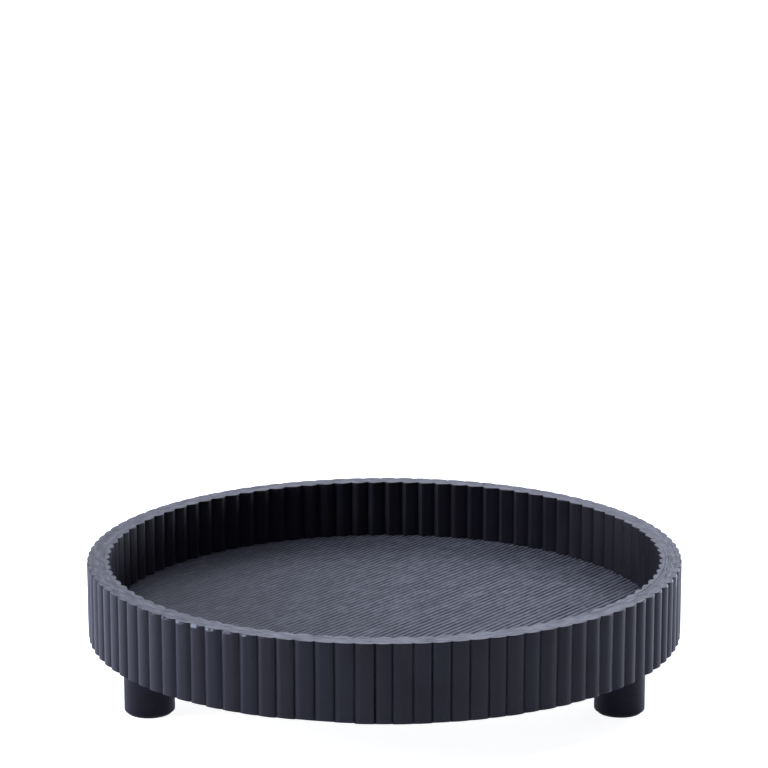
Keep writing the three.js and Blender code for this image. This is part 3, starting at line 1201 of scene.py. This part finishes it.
def close_underside(mesh, lower):
    """Adds the blind holes and fills the underside between its edge and the holes with triangles."""
    board = bmesh.new()
    board.from_mesh(mesh)
    board.verts.ensure_lookup_table()
    rim = [board.verts[i] for i in lower.tolist()]
    borders = [board.edges.get((a, b)) for a, b in zip(rim, rim[1:] + rim[:1])]
    for place in foot_places:
        mouth = [board.verts.new((*(place + point), panel_low)) for point in hole_ring]
        bottom = [board.verts.new((*(place + point), hole_top)) for point in hole_ring]
        board.faces.new(bottom)
        for i in range(HOLE_SIDES):
            j = (i + 1) % HOLE_SIDES
            board.faces.new((mouth[i], mouth[j], bottom[j], bottom[i]))
        borders += [board.edges.get((mouth[i - 1], mouth[i])) for i in range(HOLE_SIDES)]
    bmesh.ops.triangle_fill(board, use_beauty=True, edges=borders, normal=(0, 0, -1))
    bmesh.ops.recalc_face_normals(board, faces=board.faces)
    board.to_mesh(mesh)
    board.free()


close_underside(board_mesh, lower_ring)
board_mesh.shade_smooth()
board_mesh.set_sharp_from_angle(angle=BOARD_SHARP_ANGLE)
floor_board = add_object("floor_board", board_mesh)
print(len(board_mesh.polygons), "faces on the whole floor board")

# %% [markdown]
# ## Paint for the floor
#
# The same paint, dry at the right, where the crests of the saw lines look dusty. The darkening towards
# the left is painted shadow of the left wall, and the dark furrows are painted shade. Small speckles are
# dark, short pale dashes along the lines are painted highlights, and a fine relief of streaks along the
# wood's grain crosses them.


# %% Floor paint
GRAIN_DIRECTION = math.radians(-27)
LINE_DIRECTION = ARC_DIRECTION - math.pi / 2
GRAIN_STREAK = (0.05, 0.0016, 0.05)
GRIT = (0.0018, 0.0018, 0.0018)
FLOOR_STROKE = (0.003, 0.007, 0.002)
SPECKLE = (0.0022, 0.005, 0.002)
HIGHLIGHT_DASH = (0.007, 0.0011, 0.05)
LEFT_TO_RIGHT = (-0.13, 0.10)
# Colour of the painted shadow that the left wall casts on the floor's left side.
LEFT_SHADOW_PAINT = (0.0165, 0.0185, 0.0250, 1.0)
DRY_CREST = (0.130, 0.138, 0.161, 1.0)
# Colour of the painted shade in the furrows, also of the small dark speckles.
FURROW_SHADE_AND_SPECK = (0.008, 0.007, 0.010, 1.0)
# Colour of the painted highlights on the saw lines' crests.
PAINTED_CREST_HIGHLIGHT = (0.19, 0.195, 0.22, 1.0)
FLOOR_ROUGHNESS = (0.58, 0.80)
GRAIN_DEPTH = 0.00006
FILLED_FURROW_SHADE = 0.29


def make_floor_paint():
    """Dry paint over saw lines: dusty crests, dull furrows in painted shade, fine streaks along the grain.
    """
    material, tree, shader = new_material("floor paint", {"IOR": PAINT_IOR})
    place = object_place(tree)
    sideways = parts_of(tree, place)[0]
    # Painted shadow: the crest colour darkens towards the left, where the left wall shades the floor.
    crest = mix_colours(tree, fit_range(tree, sideways, *LEFT_TO_RIGHT), LEFT_SHADOW_PAINT, DRY_CREST)
    paint = brush_on(tree, place, FLOOR_STROKE, 0.5, crest, crest)
    grit = stretched_noise(tree, place, GRIT, detail=3.0)
    # The mask worn here is painted shade: the stored furrow depth, broken up by grit, darkens the saw lines'
    # furrows.
    worn = compute(tree, "ADD", attribute_value(tree, "furrow"), compute(tree, "MULTIPLY", grit, 0.25))
    furrow_shade_share = fit_range(tree, worn, 0.12, 0.62)
    speckles = fit_range(tree, stretched_noise(tree, place, SPECKLE), 0.40, 0.70)
    shade = compute(tree, "MAXIMUM", furrow_shade_share, compute(tree, "MULTIPLY", speckles, 0.45))
    painted = mix_colours(tree, shade, paint["Colour"], FURROW_SHADE_AND_SPECK)
    # Painted highlights: short pale dashes along the saw lines, stronger towards the right.
    dashes = stretched_noise(tree, place, HIGHLIGHT_DASH, turn=LINE_DIRECTION, detail=1.0)
    highlight_share = fit_range(tree, sideways, *LEFT_TO_RIGHT, 0.16, 0.30)
    highlighted = compute(tree, "MULTIPLY", fit_range(tree, dashes, 0.54, 0.74), highlight_share)
    look = {
        "Base Color": mix_colours(tree, highlighted, painted, PAINTED_CREST_HIGHLIGHT),
        "Roughness": mix_values(tree, furrow_shade_share, *FLOOR_ROUGHNESS),
    }
    feed_all(tree, shader, look)
    grain = stretched_noise(tree, place, GRAIN_STREAK, turn=GRAIN_DIRECTION, detail=3.0)
    relief(tree, shader, compute(tree, "ADD", grit, fit_range(tree, grain, 0.35, 0.7)), GRAIN_DEPTH)
    return material


# Stored as painted shade for the floor paint: each furrow's depth, plus a mid shade where the paint fills
# the lines.
furrow_shade_values = np.zeros(len(board_mesh.vertices))
furrow_shade_values[: furrow.size] = (furrow + FILLED_FURROW_SHADE * filled).ravel()
store(floor_board, "furrow", furrow_shade_values)
dress(floor_board, "floor_panel", make_floor_paint())
print("dressed the floor")

# %% [markdown]
# ## Feet, pads and screws
#
# Each foot is a turned post: a profile carried round its own axis, with the faint rings that a lathe leaves
# and a softened lower edge. A screw comes up through it into the floor, and a felt pad hides the screw.


# %% Points and mesh of a turned piece
def turned_points(place, profile_radius, profile_level, sides):
    """Points of a profile turned about an upright axis, as an array of angle, profile point and x, y, z."""
    angle = np.linspace(0, 2 * math.pi, sides, endpoint=False)[:, None]
    radius = np.broadcast_to(profile_radius, (sides, np.shape(profile_radius)[-1]))
    x = place[0] + radius * np.cos(angle)
    y = place[1] + radius * np.sin(angle)
    z = np.broadcast_to(profile_level, radius.shape)
    return np.stack([x, y, z], axis=-1)


def capped_mesh(name, points, place, end_levels):
    """A turned piece, closed at both ends of its profile by a fan about a centre point at a level."""
    sides, columns, _ = points.shape
    flat = points.reshape(-1, 3)
    centres = np.array([[*place, level] for level in end_levels])
    first = np.arange(sides) * columns
    triangles = np.concatenate([fan(first, len(flat)), fan(first[::-1] + columns - 1, len(flat) + 1)])
    quads = grid_quads(sides, columns, wrap_rows=True)
    return closed_mesh(name, np.concatenate([flat, centres]), quads, triangles)


# %% Mesh of a foot
FOOT_SIDES = 72
FOOT_ROUND = 1.3 * MM
SIDE_LEVELS = 26
RING_DEPTH = 0.025 * MM
RING_WAVES = (0.9 * MM, 2.3 * MM)
SAME_PLACE = 0.01 * MM


def foot_mesh(name, node, place):
    """One foot: a closed profile up its side and down its screw hole, carried round.

    The lathe's rings are the product of two sine waves of the level with different lengths.
    """
    radius, level = off_axis(node, place), corners(node)[:, 2]
    low, high = levels(node)
    outer, inner = radius.max(), radius.min()
    bore = radius[np.isclose(level, low, atol=SAME_PLACE)].min()
    shoulder = level[np.isclose(radius, bore, atol=SAME_PLACE)].max()
    quarter = np.radians(np.linspace(0, 90, 7))
    edge_radius = outer - FOOT_ROUND * (1 - np.sin(quarter))
    edge_level = low + FOOT_ROUND * (1 - np.cos(quarter))
    side_level = np.linspace(low + FOOT_ROUND, high, SIDE_LEVELS)[1:]
    waves = [np.sin(side_level / length) for length in RING_WAVES]
    side_radius = outer - RING_DEPTH * (1 + waves[0] * waves[1])
    radii = np.concatenate([[bore], edge_radius, side_radius, [inner, inner, bore]])
    heights = np.concatenate([[low], edge_level, side_level, [high, shoulder, shoulder]])
    return ring_mesh(name, turned_points(place, radii, heights, FOOT_SIDES))


# %% Foot paint
FOOT_SHINE = 0.30
FOOT_STROKE = (0.02, 0.02, 0.0014)
FOOT_TINT_PATCH = (0.015, 0.015, 0.015)
FOOT_DEPTH = 0.00005


def make_foot_paint():
    """Brushed paint with strokes round the foot, with less shine than the wall."""
    constants = {"IOR": PAINT_IOR, "Specular IOR Level": FOOT_SHINE}
    material, tree, shader = new_material("foot paint", constants)
    place = object_place(tree)
    paint = brush_on(tree, place, FOOT_STROKE, stretched_noise(tree, place, FOOT_TINT_PATCH))
    feed_all(tree, shader, {"Base Color": paint["Colour"], "Roughness": paint["Roughness"]})
    relief(tree, shader, paint["Height"], FOOT_DEPTH)
    return material


foot_paint = make_foot_paint()
for number, node in enumerate(foot_nodes):
    dress(foot_mesh(f"turned_foot_{number + 1}", node, foot_places[number]), node, foot_paint)
print("dressed", len(foot_nodes), "feet")

# %% [markdown]
# The felt pads are thin discs with a soft, slightly ragged edge. Felt is a mat of short fibres, so its
# paint is a tangle of fine stretched noises with a strong relief and a little sheen.

# %% Felt pads
PAD_SIDES = 96
PAD_ROUND = 0.35 * MM
PAD_RINGS = np.array([0.3, 0.6, 0.85])
PAD_RAGGED = 0.10 * MM
PAD_WAVES = 12
PAD_SEEDS = 61


def pad_mesh(name, node, place, seed):
    """A disc with rounded edges whose outline wavers, closed by a centre point above and below."""
    low, high = levels(node)
    radius = (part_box(node)[1].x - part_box(node)[0].x) / 2
    quarter = np.radians(np.linspace(0, 90, 5))
    edge_radius = radius - PAD_ROUND * (1 - np.sin(quarter))
    edge_level = low + PAD_ROUND * (1 - np.cos(quarter))
    inner = radius * PAD_RINGS
    flat = np.ones(len(PAD_RINGS))
    radii = np.concatenate([inner, edge_radius, edge_radius[::-1], inner[::-1]])
    heights = np.concatenate([low * flat, edge_level, high + low - edge_level[::-1], high * flat])
    turn = np.linspace(0, 2 * math.pi, PAD_SIDES, endpoint=False)[:, None]
    ragged = PAD_RAGGED * (1 + smooth_noise(PAD_WAVES * np.cos(turn), PAD_WAVES * np.sin(turn), seed))
    points = turned_points(place, radii[None, :] - ragged * (radii / radius), heights, PAD_SIDES)
    return capped_mesh(name, points, place, (low, high))


# %% Felt
FELT_ROUGHNESS = 0.95
FELT_SHEEN = 0.25
FELT_DEEP = (0.006, 0.006, 0.007, 1.0)
FELT_FIBRE = (0.022, 0.022, 0.025, 1.0)
FELT_DEPTH = 0.0003


def make_felt():
    """Black felt: two tangles of fibres in the colour and the relief, and a faint sheen."""
    constants = {"Roughness": FELT_ROUGHNESS, "Sheen Weight": FELT_SHEEN}
    material, tree, shader = new_material("pad felt", constants)
    place = object_place(tree)
    fibres = stretched_noise(tree, place, (0.0016, 0.0003, 0.0006), turn=0.6, detail=3.0)
    crossed = stretched_noise(tree, place, (0.0003, 0.0018, 0.0006), turn=-0.3, detail=3.0)
    tangle = compute(tree, "MAXIMUM", fibres, crossed)
    colour = mix_colours(tree, fit_range(tree, tangle, 0.4, 0.75), FELT_DEEP, FELT_FIBRE)
    tree.links.new(colour, shader.inputs["Base Color"])
    relief(tree, shader, tangle, FELT_DEPTH)
    return material


pad_felt = make_felt()
pad_nodes = named("foot_pad")
for number, node in enumerate(pad_nodes):
    pad = pad_mesh(f"felt_pad_{number + 1}", node, foot_places[number], PAD_SEEDS + number)
    dress(pad, node, pad_felt)
print("dressed", len(pad_nodes), "pads")

# %% [markdown]
# The screws are wood screws with a round head. The thread is a radius that depends on the level and on the
# angle at once: one turn further round is one pitch further up, so a single grid makes the whole helix.

# %% Head of a screw
SCREW_SIDES = 32
HEAD_HEIGHT = 2.6 * MM
HEAD_RIM = 1.3 * MM
RIM_CHAMFER = (0.15 * MM, 0.1 * MM)
CROWN_RINGS = np.array([0.12, 0.3, 0.45, 0.6, 0.75, 0.9])
CROSS_REACH = 0.7
CROSS_HALF_WIDTH = 0.45 * MM
CROSS_DEPTH = 1.0 * MM
screw_turn = np.linspace(0, 2 * math.pi, SCREW_SIDES, endpoint=False)[:, None]
screw_ones = np.ones((SCREW_SIDES, 1))


def screw_head(head_radius, low):
    """Radii and levels of the head, from the crown's middle to the seat.

    The crown rises with the third power of the way from the axis and is sunk along a cross.
    """
    crown_radius = head_radius * CROWN_RINGS
    crown_level = low + (HEAD_HEIGHT - HEAD_RIM) * CROWN_RINGS**3
    across = np.abs(crown_radius * np.cos(screw_turn))
    along = np.abs(crown_radius * np.sin(screw_turn))
    in_cross = (np.minimum(across, along) < CROSS_HALF_WIDTH) & (CROWN_RINGS < CROSS_REACH)
    crown_level = crown_level + np.where(in_cross, CROSS_DEPTH, 0.0)
    seat = low + HEAD_HEIGHT
    rim_radius = np.array([head_radius, head_radius, head_radius - RIM_CHAMFER[0]])
    rim_levels = np.array([seat - HEAD_RIM, seat - RIM_CHAMFER[1], seat])
    radii = np.concatenate([crown_radius * screw_ones, rim_radius * screw_ones], axis=1)
    return radii, np.concatenate([crown_level, rim_levels * screw_ones], axis=1)


# %% Thread and mesh of a screw
THREAD_PITCH = 1.8 * MM
THREAD_STEPS = 8
THREAD_DEPTH = 0.55 * MM
PLAIN_LENGTH = 2 * MM
FADE_LENGTH = 2 * MM
POINT_LENGTH = 3 * MM
BLUNT_LENGTH = 0.4 * MM
CLEAR_OF_HEAD = 0.5 * MM


def screw_shank(shank_radius, seat, high):
    """Radii and levels of the shank, from the seat to the point.

    The radius is the full one minus a share of the thread's depth. The share is a wave of the level in
    pitches minus the angle in turns, and it fades out towards the head. At the point the radius shrinks
    with the way left.
    """
    level = np.arange(seat, high - BLUNT_LENGTH, THREAD_PITCH / THREAD_STEPS)
    phase = level / THREAD_PITCH - screw_turn / (2 * math.pi)
    thread = (0.5 + 0.5 * np.cos(2 * math.pi * phase)) ** 2
    fade = np.clip((level - seat - PLAIN_LENGTH) / FADE_LENGTH, 0, 1)
    point = np.clip((high - level) / POINT_LENGTH, 0, 1)
    return (shank_radius - THREAD_DEPTH * fade * (1 - thread)) * point, level * screw_ones


def screw_mesh(name, node, place):
    """A screw with a crossed head, point up."""
    low, high = levels(node)
    seat = low + HEAD_HEIGHT
    radius = off_axis(node, place)
    shank_radius = radius[corners(node)[:, 2] > seat + CLEAR_OF_HEAD].max()
    head_radii, head_levels = screw_head(radius.max(), low)
    shank_radii, shank_levels = screw_shank(shank_radius, seat, high)
    radii = np.concatenate([head_radii, shank_radii], axis=1)
    points = turned_points(place, radii, np.concatenate([head_levels, shank_levels], axis=1), SCREW_SIDES)
    return capped_mesh(name, points, place, (low + CROSS_DEPTH, high))


# %% Zinc on the screws
ZINC_SPANGLE = (0.0012, 0.0012, 0.0012)
COOL_ZINC = (0.50, 0.52, 0.56, 1.0)
YELLOWISH_ZINC = (0.62, 0.60, 0.54, 1.0)
ZINC_ROUGHNESS = (0.28, 0.45)


def make_zinc():
    """Zinc plate: a metal whose colour and roughness drift in small cool and yellowish spangles."""
    material, tree, shader = new_material("screw zinc", {"Metallic": 1.0})
    spangle = stretched_noise(tree, object_place(tree), ZINC_SPANGLE, detail=3.0)
    look = {
        "Base Color": mix_colours(tree, fit_range(tree, spangle, 0.35, 0.65), COOL_ZINC, YELLOWISH_ZINC),
        "Roughness": fit_range(tree, spangle, 0.3, 0.7, *ZINC_ROUGHNESS),
    }
    feed_all(tree, shader, look)
    return material


screw_zinc = make_zinc()
screw_nodes = named("foot_screw")
for number, node in enumerate(screw_nodes):
    dress(screw_mesh(f"wood_screw_{number + 1}", node, foot_places[number]), node, screw_zinc)
print("dressed", len(screw_nodes), "screws")
